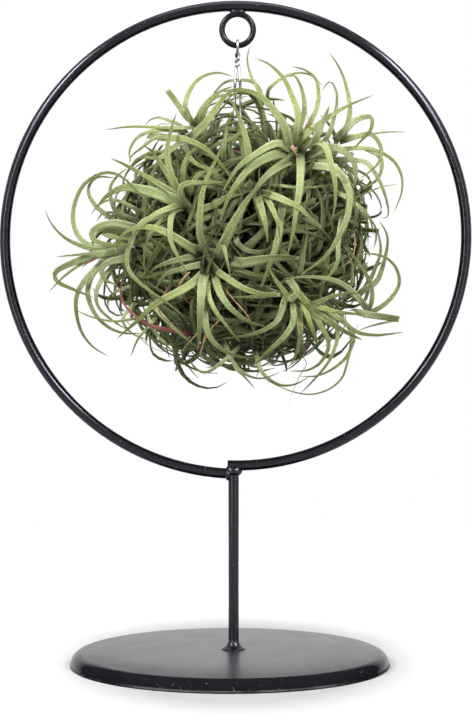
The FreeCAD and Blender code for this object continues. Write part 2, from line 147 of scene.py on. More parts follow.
# A lamp looks at the aim: it is turned on its own axis, tipped up and then swung round
def hangLamp(name, place, sides, turn, watts):
    data = bpy.data.lights.new(name, "AREA")
    data.shape = "RECTANGLE"
    data.size, data.size_y = sides
    data.energy = watts
    lamp = bpy.data.objects.new(name, data)
    lamp.location = place
    away = np.array(place) - np.array(studio["aim"])
    tipped = Euler((math.acos(away[2] / np.linalg.norm(away)), 0,
                    math.atan2(away[0], -away[1]))).to_matrix()
    lamp.rotation_euler = (tipped @ Euler((0, 0, math.radians(turn))).to_matrix()).to_euler()
    bpy.context.scene.collection.objects.link(lamp)
    return lamp


def lightTheRoom():
    world = bpy.data.worlds.new("room")
    bpy.context.scene.world = world
    world.use_nodes = True
    tree = world.node_tree
    tree.nodes.clear()
    soft = addNode(tree, "Background", {"Color": white, "Strength": studio["ambient"]})
    bright = addNode(tree, "Background", {"Color": white, "Strength": 1})
    both = addNode(tree, "MixShader", {0: seenDirectly(tree), 1: soft.outputs[0],
                                       2: bright.outputs[0]})
    addNode(tree, "OutputWorld", {"Surface": both.outputs[0]})
    for lamp in studio["boxes"]:
        hangLamp(*lamp)
    for lamp in studio["strips"]:
        hangLamp(*lamp).visible_diffuse = False


# A round matt floor that catches the shadow, with its lift to white as light of its own
def layTheFloor():
    turn = np.arange(studio["floorCorners"]) * 2 * np.pi / studio["floorCorners"]
    rim = np.stack([np.cos(turn), np.sin(turn), 0 * turn], 1) * studio["floorRadius"]
    mesh = bpy.data.meshes.new("floor")
    mesh.from_pydata(rim.tolist(), [], [list(range(len(rim)))])
    floor = bpy.data.objects.new("floor", mesh)
    bpy.context.scene.collection.objects.link(floor)
    material = bpy.data.materials.new("paleFloor")
    material.use_nodes = True
    tree = material.node_tree
    tree.nodes.clear()
    matt = addNode(tree, "BsdfDiffuse", {"Color": studio["floorColour"]})
    place = addNode(tree, "Mapping", {"Vector": addNode(tree, "TexCoord").outputs["Object"],
                                      "Scale": studio["floorPaintedShadowShape"]}).outputs[0]
    away = addNode(tree, "VectorMath", {0: place}, operation="LENGTH").outputs["Value"]
    # painted shadow: the glow is least round the base, so the floor is greyer there
    lifted = spread(tree, away, *studio["floorPaintedShadowFade"], *studio["floorGlow"])
    glow = times(tree, seenDirectly(tree), lifted)
    lift = addNode(tree, "Emission", {"Color": white, "Strength": glow})
    both = addNode(tree, "AddShader", {0: matt.outputs[0], 1: lift.outputs[0]})
    addNode(tree, "OutputMaterial", {"Surface": both.outputs[0]})
    mesh.materials.append(material)


lightTheRoom()
layTheFloor()
bpy.context.scene.view_settings.view_transform = "Standard"
print("camera, light and floor made")


# Materials

def newMaterial(name):
    material = bpy.data.materials.new(name)
    material.use_nodes = True
    tree = material.node_tree
    return material, tree, tree.nodes["Principled BSDF"]


def setShader(shader, **values):
    for key, value in values.items():
        shader.inputs[key.replace("_", " ")].default_value = value


def objectPlace(tree, scale=(1, 1, 1)):
    place = addNode(tree, "TexCoord")
    return addNode(tree, "Mapping", {"Vector": place.outputs["Object"], "Scale": scale}).outputs[0]


def noise(tree, place, scale, detail=2.0, roughness=0.5):
    return addNode(tree, "TexNoise", {"Vector": place, "Scale": scale, "Detail": detail,
                                      "Roughness": roughness}).outputs["Fac"]


def blendColour(tree, factor, first, second, kind="MIX"):
    return addNode(tree, "MixRGB", {"Fac": factor, "Color1": first, "Color2": second},
                   blend_type=kind).outputs[0]


def wearOn(material, *names):
    for name in names:
        slots = nodes[name].data.materials
        slots.clear()
        slots.append(material)


powder = {
    "cloud": 60,                 # patches of unlike gloss, per metre
    "peel": 900,                 # its grain, per metre
    "peelStrength": 0.35,
    "speck": 900,                # cells, per metre, of which a few hold a speck of dust
    # the colour of the dust specks, and of the painted highlight on the dish's lip
    "dustAndLipHighlight": (0.5, 0.5, 0.53, 1),
}

barCoat = {
    "blacks": ((0.006, 0.006, 0.008, 1), (0.010, 0.010, 0.013, 1)),
    "peelDepth": 0.008 * mm,
    "dusty": 0.5,                # how much a speck shows
    "rough": (0.11, 0.15),
    "gloss": (0.27, 0.0),        # seen face on, and at the edge of what is seen
    "edge": (0.5, 0.8),          # where the gloss begins and ends to change between the two
    "tint": (0.82, 0.86, 1, 1),
}
ringCoat = barCoat | {"rough": (0.18, 0.22), "gloss": (0.16, 0.0)}
weldCoat = barCoat | {"peelDepth": 0.3 * mm, "dusty": 0.3, "rough": (0.16, 0.22),
                      "gloss": (0.3, 0.1), "edge": (0.5, 0.9)}
dishCoat = {
    # a lighter black than the bars': painted light on the dish
    "blacks": ((0.011, 0.010, 0.013, 1), (0.015, 0.014, 0.018, 1)),
    "peelDepth": 0.02 * mm,
    "dusty": 1.0,
    "rough": (0.28, 0.34),
    "gloss": (0.0, 1.3),
    "edge": (0.62, 0.87),
    "tint": (0.93, 0.88, 1, 1),
    "matt": (28 * mm, 74 * mm),           # from the middle outwards, its front turns matt
    "mattFront": (50 * mm, -50 * mm),     # and in Y, from the back to the front
    "mattShare": 0.85,                    # how much of its gloss it loses there
    "paintedLipHighlight": (0.6 * mm, 1.2 * mm),       # heights of a painted highlight line on the lip
    "paintedLipHighlightBlur": 0.3 * mm,
    "paintedLipHighlightFront": (-55 * mm, -68 * mm),  # in Y, where that line begins and is full
    "paintedLipHighlightShare": (0.04, 0.2),           # how bright, as it changes along the line
}


# How matt the dish is: more with the distance from its middle, and only in front
def mattInFront(tree, parts, coat):
    flat = addNode(tree, "CombineXYZ", {0: parts[0], 1: parts[1]}).outputs[0]
    away = addNode(tree, "VectorMath", {0: flat}, operation="LENGTH").outputs["Value"]
    return times(tree, spread(tree, away, *coat["matt"], 0, coat["mattShare"], "SMOOTHSTEP"),
                 spread(tree, parts[1], *coat["mattFront"], 0, 1, "SMOOTHSTEP"))


# A painted highlight: a low line round the front of the dish's lip, 1 between its two heights
def paintedLipHighlightLine(tree, parts, coat):
    low, high = coat["paintedLipHighlight"]
    blur = coat["paintedLipHighlightBlur"]
    line = times(tree, spread(tree, parts[2], low - blur, low),
                 spread(tree, parts[2], high + blur, high))
    return times(tree, line, spread(tree, parts[1], *coat["paintedLipHighlightFront"]))


# Powder coat: black with a fine orange peel, a little uneven in gloss, and lone specks of dust
def makeCoating(name, coat):
    material, tree, shader = newMaterial(name)
    place = objectPlace(tree)
    cloud = noise(tree, place, powder["cloud"], 3)
    peel = noise(tree, place, powder["peel"], 2)
    black = blendColour(tree, spread(tree, cloud, 0.35, 0.7), *coat["blacks"])
    grains = addNode(tree, "TexVoronoi", {"Vector": place, "Scale": powder["speck"]})
    chance = noise(tree, place, powder["speck"] * 0.6, 0)
    speck = times(tree, spread(tree, grains.outputs["Distance"], 0.16, 0.1),
                  spread(tree, chance, 0.62, 0.64))
    colour = blendColour(tree, times(tree, speck, coat["dusty"]), black, powder["dustAndLipHighlight"])
    facing = addNode(tree, "LayerWeight", {"Blend": 0.5}).outputs["Facing"]
    shine = spread(tree, facing, *coat["edge"], *coat["gloss"])
    if "matt" in coat:
        parts = addNode(tree, "SeparateXYZ", {0: place}).outputs
        # painted highlight: a pale line round the front of the dish's lip
        line = times(tree, paintedLipHighlightLine(tree, parts, coat),
                     spread(tree, cloud, 0.4, 0.6, *coat["paintedLipHighlightShare"]))
        colour = blendColour(tree, line, colour, powder["dustAndLipHighlight"])
        shine = times(tree, shine, spread(tree, mattInFront(tree, parts, coat), 0, 1, 1, 0))
    bump = addNode(tree, "Bump", {"Height": peel, "Strength": powder["peelStrength"],
                                  "Distance": coat["peelDepth"]})
    tree.links.new(colour, shader.inputs["Base Color"])
    tree.links.new(spread(tree, cloud, 0.3, 0.7, *coat["rough"]), shader.inputs["Roughness"])
    tree.links.new(shine, shader.inputs["Specular IOR Level"])
    tree.links.new(bump.outputs[0], shader.inputs["Normal"])
    setShader(shader, Specular_Tint=coat["tint"])
    return material


wearOn(makeCoating("blackCoat", barCoat), "hoop", "stem_rod")
wearOn(makeCoating("blackRingCoat", ringCoat), "hanging_ring")
wearOn(makeCoating("blackBaseCoat", dishCoat), "base_plate")
wearOn(makeCoating("blackWeldCoat", weldCoat), "stem_foot_weld", "hoop_weld", "ring_weld")

brightWire = {
    "metal": (0.4, 0.41, 0.43, 1),
    "dull": (0.06, 0.06, 0.07, 1),
    # times this towards the edges of what is seen: painted shade
    "edge": (0.4, 0.4, 0.43, 1),
    "draw": (3000, 3000, 90),    # scratches per metre, longest up and down
    "scratchDepth": 0.04 * mm,
    "rough": (0.22, 0.42),
    "cloud": 620,                # dull patches, per metre
    "cloudShape": (1, 1, 0.3),
}


# Drawn wire: bright metal with fine scratches that run along it, which is mostly up and down
def makeWire():
    material, tree, shader = newMaterial("brightWire")
    scratch = noise(tree, objectPlace(tree, brightWire["draw"]), 1, 3)
    cloud = noise(tree, objectPlace(tree, brightWire["cloudShape"]), brightWire["cloud"], 2)
    colour = blendColour(tree, spread(tree, cloud, 0.43, 0.58), brightWire["metal"],
                         brightWire["dull"])
    # painted shade: the wire darkens towards the edges of what is seen
    facing = addNode(tree, "LayerWeight", {"Blend": 0.5}).outputs["Facing"]
    colour = blendColour(tree, spread(tree, facing, 0.3, 0.7), colour, brightWire["edge"],
                         "MULTIPLY")
    bump = addNode(tree, "Bump", {"Height": scratch, "Strength": 0.3,
                                  "Distance": brightWire["scratchDepth"]})
    tree.links.new(colour, shader.inputs["Base Color"])
    tree.links.new(spread(tree, scratch, 0.3, 0.7, *brightWire["rough"]),
                   shader.inputs["Roughness"])
    tree.links.new(bump.outputs[0], shader.inputs["Normal"])
    setShader(shader, Metallic=1.0)
    return material


wearOn(makeWire(), "hanger_wire")

bark = {
    "dark": (0.018, 0.016, 0.009, 1),
    "light": (0.11, 0.085, 0.045, 1),
    "fibre": (900, 900, 200),    # per metre, longest up and down
    "fibreDepth": 0.8 * mm,
    "rough": 0.85,
}


# Knot of old stems: dark, matted fibres
def makeBark():
    material, tree, shader = newMaterial("oldStem")
    fibre = noise(tree, objectPlace(tree, bark["fibre"]), 1, 4, 0.6)
    colour = blendColour(tree, spread(tree, fibre, 0.45, 0.75), bark["dark"], bark["light"])
    bump = addNode(tree, "Bump", {"Height": fibre, "Strength": 0.8,
                                  "Distance": bark["fibreDepth"]})
    tree.links.new(colour, shader.inputs["Base Color"])
    tree.links.new(bump.outputs[0], shader.inputs["Normal"])
    setShader(shader, Roughness=bark["rough"])
    return material


wearOn(makeBark(), "stem_knot")

# The plant

plant = {
    # how far the plain leaves come in the hoop's plane, every 22.5 degrees from the right side on,
    # then towards the viewer and to the back
    "reach": np.array([74, 77, 74, 73, 71, 64, 61, 67, 74, 79, 84, 84, 82, 84, 80, 76]) * mm,
    "frontReach": 62 * mm,
    "backReach": 74 * mm,
    "freeShare": 0.8,             # leaves are held back only beyond this share of the reach
    "underShare": 0.88,           # times the reach, where the photo's own leaves lie over them
    "heart": (38 * mm, 66 * mm),  # painted shade, darkest within the first, none past the second
    "rootRadius": 21.5 * mm,      # where the leaves leave the knot
    "wireRoom": 6 * mm,           # kept free round the wire
    "wireRoomFrom": 12 * mm,      # height over and under the middle where that room begins
    "wireRoomOver": 8 * mm,       # and in how much more height it is full
    "leafThickness": 0.9 * mm,
    "tipShare": 0.3,              # of that thickness, at a leaf's tip
    "taper": 0.62,                # a leaf's width goes as (1 - s) to this power
    "goldenAngle": 2.39996,
    "seed": 11,
}
knotLow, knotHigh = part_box("stem_knot")
plant["centre"] = np.array((knotLow + knotHigh) / 2)

leafColours = {
    "silver": (0.33, 0.37, 0.185, 1),
    "green": (0.225, 0.29, 0.075, 1),
    "fresh": (0.33, 0.385, 0.075, 1),
    "end": (0.10, 0.125, 0.022, 1),   # green towards a leaf's tip
    "bloom": (0.58, 0.63, 0.38, 1),   # pale scales on the margins and the root
    "heart": (0.11, 0.10, 0.08, 1),   # times this, as painted shade in the plant's heart
    "red": (0.29, 0.10, 0.085, 1),
    "dry": (0.48, 0.29, 0.15, 1),
    "tip": (0.45, 0.34, 0.22, 1),
}

leafSurface = {
    "streaks": (26, 3, 1),            # across and along a leaf
    "streakDepth": 0.25 * mm,
    "frost": 1500,                    # scales, per metre
    "shift": 7,                       # moves the streaks from leaf to leaf, by the leaf's tone
    "rough": 0.55,
    "gloss": 0.16,
    "sheen": 0.06,
    "sheenRough": 0.4,
}

# The kind in the attribute leafTint; less than green's own value paints shade on a green leaf
leafKinds = {"green": 0.25, "red": 0.55, "dry": 1.0}


# Green that runs from grey to yellow-green with the leaf's tone and darkens to its tip, with pale
# margins, a pale root and a frost of pale scales
def leafGreen(tree, tone, along, aside):
    green = blendColour(tree, spread(tree, tone, 0, 0.5), leafColours["silver"],
                        leafColours["green"])
    green = blendColour(tree, spread(tree, tone, 0.5, 1), green, leafColours["fresh"])
    green = blendColour(tree, spread(tree, along, 0.2, 0.8, 0, 0.9), green, leafColours["end"])
    margin = times(tree, spread(tree, aside, 0.78, 1, 0, 0.75),
                   spread(tree, along, 0.3, 0.8, 1, 0.3))
    pale = larger(tree, margin, spread(tree, along, 0.5, 0.05, 0, 0.3))
    green = blendColour(tree, pale, green, leafColours["bloom"])
    frost = noise(tree, objectPlace(tree), leafSurface["frost"], 2)
    frost = times(tree, spread(tree, frost, 0.42, 0.66), spread(tree, along, 0.9, 0.1, 0.1, 0.6))
    return blendColour(tree, frost, green, leafColours["bloom"])


# Lighter and darker streaks; painted shade where the kind is low, in the channel and at the root
def leafShade(tree, streak, kind, aside, along):
    shade = spread(tree, streak, 0.3, 0.7, 0.86, 1.52)
    # painted shade: darker where the kind is low, in a leaf's channel and near its root
    for darker in (spread(tree, kind, 0, 0.25, 0.45, 1), spread(tree, aside, 0, 0.7, 0.84, 1),
                   spread(tree, along, 0, 0.16, 0.5, 1)):
        shade = times(tree, shade, darker)
    return addNode(tree, "CombineColor", {0: shade, 1: shade, 2: shade}).outputs[0]


# The attribute leafTint holds a leaf's tone, the share along it, the share from its midline to
# its margin, and its kind. The map leafUv carries the streaks, which run lengthwise.
def makeLeafMaterial():
    material, tree, shader = newMaterial("leafSkin")
    tint = addNode(tree, "Attribute", attribute_name="leafTint")
    tone, along, aside = addNode(tree, "SeparateColor", {0: tint.outputs["Color"]}).outputs
    kind = tint.outputs["Alpha"]
    surface = addNode(tree, "UVMap", uv_map="leafUv").outputs[0]
    stretched = addNode(tree, "Mapping", {"Vector": surface, "Scale": leafSurface["streaks"]})
    streak = noise(tree, stretched.outputs[0], 1, 3, 0.6)
    colour = blendColour(tree, spread(tree, kind, 0.3, 0.5), leafGreen(tree, tone, along, aside),
                         leafColours["red"])
    colour = blendColour(tree, spread(tree, kind, 0.6, 0.9), colour, leafColours["dry"])
    colour = blendColour(tree, spread(tree, along, 0.94, 0.99, 0, 0.8), colour,
                         leafColours["tip"])
    # painted shade: leaves darken towards the plant's heart
    offset = addNode(tree, "VectorMath", {0: addNode(tree, "TexCoord").outputs["Object"],
                                          1: plant["centre"]}, operation="DISTANCE")
    heartShadeMask = spread(tree, offset.outputs["Value"], *plant["heart"], 1.0, 0.0)
    colour = blendColour(tree, heartShadeMask, colour, leafColours["heart"], "MULTIPLY")
    colour = blendColour(tree, 1.0, colour, leafShade(tree, streak, kind, aside, along),
                         "MULTIPLY")
    bump = addNode(tree, "Bump", {"Height": streak, "Strength": 0.5,
                                  "Distance": leafSurface["streakDepth"]})
    tree.links.new(colour, shader.inputs["Base Color"])
    tree.links.new(bump.outputs[0], shader.inputs["Normal"])
    tree.links.new(spread(tree, along, 0.02, 0.08, 0, leafSurface["gloss"]),
                   shader.inputs["Specular IOR Level"])
    setShader(shader, Roughness=leafSurface["rough"], Sheen_Weight=leafSurface["sheen"],
              Sheen_Roughness=leafSurface["sheenRough"])
    return material


leafSkin = makeLeafMaterial()
print("materials made")

rng = np.random.default_rng(plant["seed"])


def unit(vectors):
    return vectors / np.maximum(np.linalg.norm(vectors, axis=-1, keepdims=True), 1e-12)


def leafTaper(share):
    return (1 - share) ** plant["taper"]


def leafThick(taper):
    return plant["leafThickness"] * (plant["tipShare"] + (1 - plant["tipShare"]) * taper)


# The plant's envelope: a place's distance from the middle, as a share of the reach in its
# direction, is left alone up to freeShare. Beyond that it becomes freeShare + rest * tanh((share
# - freeShare) / rest), where rest = 1 - freeShare, so it comes near 1 and never passes it.
def keepInReach(places, scale):
    offset = places - plant["centre"]
    turn = np.degrees(np.arctan2(offset[..., 2], offset[..., 0]))
    count = len(plant["reach"])
    flat = np.interp(turn, np.arange(count) * 360 / count, plant["reach"], period=360)
    deep = np.where(offset[..., 1] > 0, plant["backReach"], plant["frontReach"])
    reach = np.stack([flat, deep, flat], -1) * scale
    share = np.linalg.norm(offset / reach, axis=-1, keepdims=True)
    free, rest = plant["freeShare"], 1 - plant["freeShare"]
    eased = free + rest * np.tanh((share - free) / rest)
    return clearOfWire(plant["centre"] + offset * np.where(share > free, eased / share, 1))


# Distance from the wire's line becomes the root of its square plus the square of the room, which
# is none beside the plant's middle and full above and below it
def clearOfWire(places):
    offset = places - plant["centre"]
    flat = offset[..., :2]
    away = np.linalg.norm(flat, axis=-1, keepdims=True)
    past = (np.abs(offset[..., 2:]) - plant["wireRoomFrom"]) / plant["wireRoomOver"]
    wide = np.sqrt(away ** 2 + (plant["wireRoom"] * np.clip(past, 0, 1)) ** 2)
    moved = offset.copy()
    moved[..., :2] = flat * wide / np.maximum(away, 1e-6)
    return plant["centre"] + moved


# A leaf's faces: quads between its rings, triangles to its tip and a cap over its root
def leafFaces(count, stations, size):
    row = np.arange(size)
    after = (row + 1) % size
    start = (np.arange(stations - 1) * size)[:, None]
    quads = np.stack([start + row, start + after, start + size + after, start + size + row], -1)
    last = (stations - 1) * size
    tips = np.stack([last + row, last + after, np.full(size, last + size)], -1)
    cap = row[::-1][None]
    first = (np.arange(count) * (last + size + 1))[:, None, None]
    faces = []
    for shape in (quads.reshape(-1, 4), tips, cap):
        faces += (shape[None] + first).reshape(-1, shape.shape[-1]).tolist()
    return faces


# A strap leaf is a cross-section carried along its centre line. Across it, s from -1 to 1, both
# faces lift by cup * half * s ** 2, and stand half the thickness * (1 - s ** 2) apart from that,
# so the leaf is a channel with thin margins. The last ring closes on the tip. Its tint is as the
# leaf's material reads it, and its map holds s across and the share along.
def strapLeaves(lines, across, half, thick, cup, ribs, tones, kinds):
    count, stations, _ = lines.shape
    along = unit(np.gradient(lines, axis=1))
    across = unit(across - np.sum(across * along, -1, keepdims=True) * along)
    face = np.cross(along, across)
    side = np.linspace(-1, 1, ribs)
    ring = np.concatenate([side, side[-2:0:-1]])
    bulge = np.concatenate([np.ones(ribs), -np.ones(ribs - 2)]) * (1 - ring ** 2)
    width = half[..., None] * ring
    lift = cup * half[..., None] * ring ** 2 + thick[..., None] / 2 * bulge
    body = (lines[:, :, None] + across[:, :, None] * width[..., None]
            + face[:, :, None] * lift[..., None])
    points = np.concatenate([body.reshape(count, -1, 3), lines[:, -1:]], 1)
    size = len(ring)
    share = np.linspace(0, 1, stations)
    tint = np.empty(points.shape[:2] + (4,))
    tint[..., 0] = tones[:, None]
    tint[:, :-1, 1] = np.repeat(share, size)
    tint[:, :-1, 2] = np.tile(np.abs(ring), stations)
    tint[:, -1, 1:3] = (1, 0)
    tint[..., 3] = kinds[:, None]
    shift = leafSurface["shift"] * tones
    flatMap = np.empty(points.shape[:2] + (2,))
    flatMap[:, :-1, 0] = np.tile(ring / 2 + 0.5, stations) + shift[:, None]
    flatMap[:, :-1, 1] = np.repeat(share, size)
    flatMap[:, -1] = np.stack([0.5 + shift, np.ones(count)], 1)
    return (points.reshape(-1, 3), leafFaces(count, stations, size), tint.reshape(-1, 4),
            flatMap.reshape(-1, 2))


# Several sets of leaves become one piece
def joinLeaves(name, sets, node):
    points, faces, tints, maps = [], [], [], []
    total = 0
    for leafPoints, leafFaces, leafTint, leafMap in sets:
        faces += [[corner + total for corner in face] for face in leafFaces]
        points.append(leafPoints)
        tints.append(leafTint)
        maps.append(leafMap)
        total += len(leafPoints)
    mesh = bpy.data.meshes.new(name)
    mesh.from_pydata(np.concatenate(points).tolist(), [], faces)
    mesh.shade_smooth()
    tint = mesh.attributes.new("leafTint", "FLOAT_COLOR", "POINT")
    tint.data.foreach_set("color", np.concatenate(tints).ravel())
    corners = np.empty(len(mesh.loops), np.int32)
    mesh.loops.foreach_get("vertex_index", corners)
    layer = mesh.uv_layers.new(name="leafUv")
    layer.uv.foreach_set("vector", np.concatenate(maps)[corners].ravel())
    mesh.materials.append(leafSkin)
    mesh.update()
    piece = bpy.data.objects.new(name, mesh)
    bpy.context.scene.collection.objects.link(piece)
    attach(piece, "plant")
    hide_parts(node)
    return piece


crownShape = {
    "leaves": 30,
    "stations": 16,
    "ribs": 3,
    "length": (46, 84),            # innermost and outermost leaf, millimetres
    "lengthVaries": 0.08,
    "rootWidth": (4.2, 6.0),
    "rootOut": (1.2, 5.2),         # how far from the axis a leaf begins
    "start": (3, 20),              # degrees that a leaf leans from the axis at its root
    "startVaries": 3,
    "finish": (42, 205),           # and at its tip
    "finishVaries": 22,
    "sharpness": (1.4, 2.3),       # how late it bends
    "firstTurn": (0, 6),           # radians round the axis, drawn between these
    "turnVaries": 0.16,
    "swirl": 0.5,                  # radians that it wanders round the axis towards its tip
    "twist": 0.9,                  # radians that it rolls towards its tip
    "cup": 0.45,
    "toneShift": 0,
    "toneVaries": 0.2,
    "toneFalls": 0.25,             # from the innermost leaf to the outermost
    "paintedShadeKind": 0.95,                # share of green's kind in leaves that stand high; less is painted shade
    "paintedShadeKindFalls": 0.7,            # and how much less it is in those that hang low
    "paintedShadeKindDepth": 64.5,           # millimetres under the middle where it is least
}

oldLeafShape = crownShape | {      # short old leaves that fill the plant's heart
    "leaves": 18,
    "stations": 12,
    "length": (26, 52),
    "rootOut": (3, 6.5),
    "start": (24, 62),
    "finish": (80, 250),
    "swirl": 1.1,
    "toneShift": -0.3,
}

fringeShape = crownShape | {       # thin, long and much curled leaves that hang at the bottom
    "leaves": 22,
    "stations": 20,
    "length": (58, 92),
    "rootWidth": (3.4, 5.2),
    "start": (12, 50),
    "finish": (130, 290),
    "swirl": 1.3,
    "twist": 1.6,
    "toneShift": -0.2,
}
asideOfAxis = (0.31, 0.2, 0.93)    # no crown's axis points this way


def between(pair, share):
    return pair[0] + (pair[1] - pair[0]) * share


# Along a leaf, s from 0 to 1, its heading leans from the axis by start + (finish - start) *
# s ** sharpness, and its place is the running sum of equal steps by (sin heading) outwards and
# (cos heading) up the axis.
def bendLeaves(shape, rank, share, jitter, late):
    start = np.radians(between(shape["start"], rank) + shape["startVaries"] * jitter[2])
    finish = np.radians(between(shape["finish"], rank) + shape["finishVaries"] * jitter[3])
    power = between(shape["sharpness"], late)
    heading = start[:, None] + (finish - start)[:, None] * share ** power[:, None]
    length = between(shape["length"], rank) * (1 + shape["lengthVaries"] * jitter[4]) * mm
    step = (length / (len(share) - 1))[:, None]
    middle = (heading[:, 1:] + heading[:, :-1]) / 2
    zero = np.zeros((len(rank), 1))
    outwards = np.concatenate([zero, np.cumsum(np.sin(middle) * step, 1)], 1)
    upwards = np.concatenate([zero, np.cumsum(np.cos(middle) * step, 1)], 1)
    return outwards + between(shape["rootOut"], rank)[:, None] * mm, upwards


# A crown's leaf k of n stands at k golden angles round the crown's axis. Towards its tip it
# wanders round the axis as s ** 2 and rolls as s ** 1.5.
def crownLeaves(axis, shape, tone, scale):
    count = shape["leaves"]
    rank = (np.arange(count) + 0.5) / count
    share = np.linspace(0, 1, shape["stations"])
    side = unit(np.cross(axis, asideOfAxis))
    other = np.cross(axis, side)
    jitter = rng.normal(size=(7, count))
    turn = np.arange(count) * plant["goldenAngle"] + rng.uniform(*shape["firstTurn"])
    turn += shape["turnVaries"] * jitter[0]
    azimuth = turn[:, None] + shape["swirl"] * jitter[1][:, None] * share ** 2
    outwards, upwards = bendLeaves(shape, rank, share, jitter, rng.uniform(0, 1, count))
    ringwise = np.cos(azimuth)[..., None] * side + np.sin(azimuth)[..., None] * other
    lines = plant["centre"] + axis * (plant["rootRadius"] + upwards)[..., None]
    lines = keepInReach(lines + ringwise * outwards[..., None], scale)
    across = np.cos(azimuth)[..., None] * other - np.sin(azimuth)[..., None] * side
    along = unit(np.gradient(lines, axis=1))
    roll = shape["twist"] * jitter[5][:, None] * share ** 1.5
    across = across * np.cos(roll)[..., None] + np.cross(along, across) * np.sin(roll)[..., None]
    taper = leafTaper(share)
    half = between(shape["rootWidth"], rank)[:, None] / 2 * mm * taper
    thick = leafThick(taper) * np.ones((count, 1))
    tones = tone + shape["toneShift"] + shape["toneVaries"] * jitter[6] - shape["toneFalls"] * rank
    # painted shade: leaves that hang lower get a lower kind, so they are darker
    drop = (lines[:, -1, 2] - plant["centre"][2]) / (shape["paintedShadeKindDepth"] * mm)
    kinds = leafKinds["green"] * (shape["paintedShadeKind"] + shape["paintedShadeKindFalls"] * np.clip(drop, -1, 0))
    return strapLeaves(lines, across, half, thick, shape["cup"], shape["ribs"],
                       np.clip(tones, 0, 1), kinds)


photoLeafShape = {
    "samples": 12,                 # of the smooth line, for each given point
    "stations": 30,
    "ribs": 5,
    "pixel": 0.5 * mm,             # what one pixel of width is at the plant
    "cup": 0.42,
    "reach": (96 * mm, 67 * mm),   # of the ellipsoid they lie in: in X and Z, and in Y
    "edgeShare": 0.03,             # least square of the Y reach's share, for leaves past its edge
    "layerDrop": 0.1,              # each layer lies this share deeper
    "rootDrop": 0.4,               # and a leaf's root this much deeper than its tip
    "facing": 0.45,                # how much a leaf turns with the ball rather than to the front
    "roll": 0.35,                  # radians at the tip, more or less
}


# A smooth line through given points: each stretch is the cubic whose slope at a point is
# half the step from the point before to the point after, and the places are evenly spaced on it.
def lineThrough(points, samples, stations):
    points = np.array(points, float)
    held = np.concatenate([2 * points[:1] - points[1:2], points, 2 * points[-1:] - points[-2:-1]])
    where = np.linspace(0, len(points) - 1, samples * len(points))
    index = np.minimum(where.astype(int), len(points) - 2)
    part = (where - index)[:, None]
    a, b, c, d = (held[index + k] for k in range(4))
    curve = (b + (c - a) / 2 * part + (a - 2.5 * b + 2 * c - d / 2) * part ** 2
             + (1.5 * (b - c) + (d - a) / 2) * part ** 3)
    run = np.concatenate([[0], np.cumsum(np.linalg.norm(np.diff(curve, axis=0), axis=1))])
    even = np.linspace(0, run[-1], stations)
    return np.stack([np.interp(even, run, curve[:, axis]) for axis in (0, 1)], 1)


# A leaf read from the photo: its midline in pixels, its depth from the front half of an
# ellipsoid, depth = y reach * root of (1 - (distance from the middle / x-z reach) ** 2), less the
# share of its layer, and less rootDrop * (1 - s) ** 4 of it near its root. A blunt leaf ends that
# share of its width wide, where other leaves hide its tip.
def photoLeaf(width, tone, layer, points, kind="green", blunt=0.0):
    shape = photoLeafShape
    pixels = lineThrough(points, shape["samples"], shape["stations"])
    share = np.linspace(0, 1, shape["stations"])
    offset = fromPhoto(pixels, np.zeros(len(pixels))) - plant["centre"]
    wide, deep = shape["reach"]
    ratio = np.linalg.norm(offset[:, [0, 2]], axis=1) / wide
    depth = deep * np.sqrt(np.maximum(1 - ratio ** 2, shape["edgeShare"]))
    depth *= (1 - shape["layerDrop"] * layer) - shape["rootDrop"] * (1 - share) ** 4
    line = clearOfWire(fromPhoto(pixels, -depth))
    front = np.array([0, -1, 0]) + shape["facing"] * unit(line - plant["centre"])
    along = unit(np.gradient(line, axis=0))
    across = unit(np.cross(front, along))
    turn = shape["roll"] * rng.normal() * share
    across = across * np.cos(turn)[:, None] + np.cross(along, across) * np.sin(turn)[:, None]
    taper = blunt + (1 - blunt) * leafTaper(share)
    half = width / 2 * shape["pixel"] * taper
    thick = np.minimum(leafThick(taper), half)
    return strapLeaves(line[None], across[None], half[None], thick[None], shape["cup"],
                       shape["ribs"], np.array([tone]), np.array([leafKinds[kind]]))


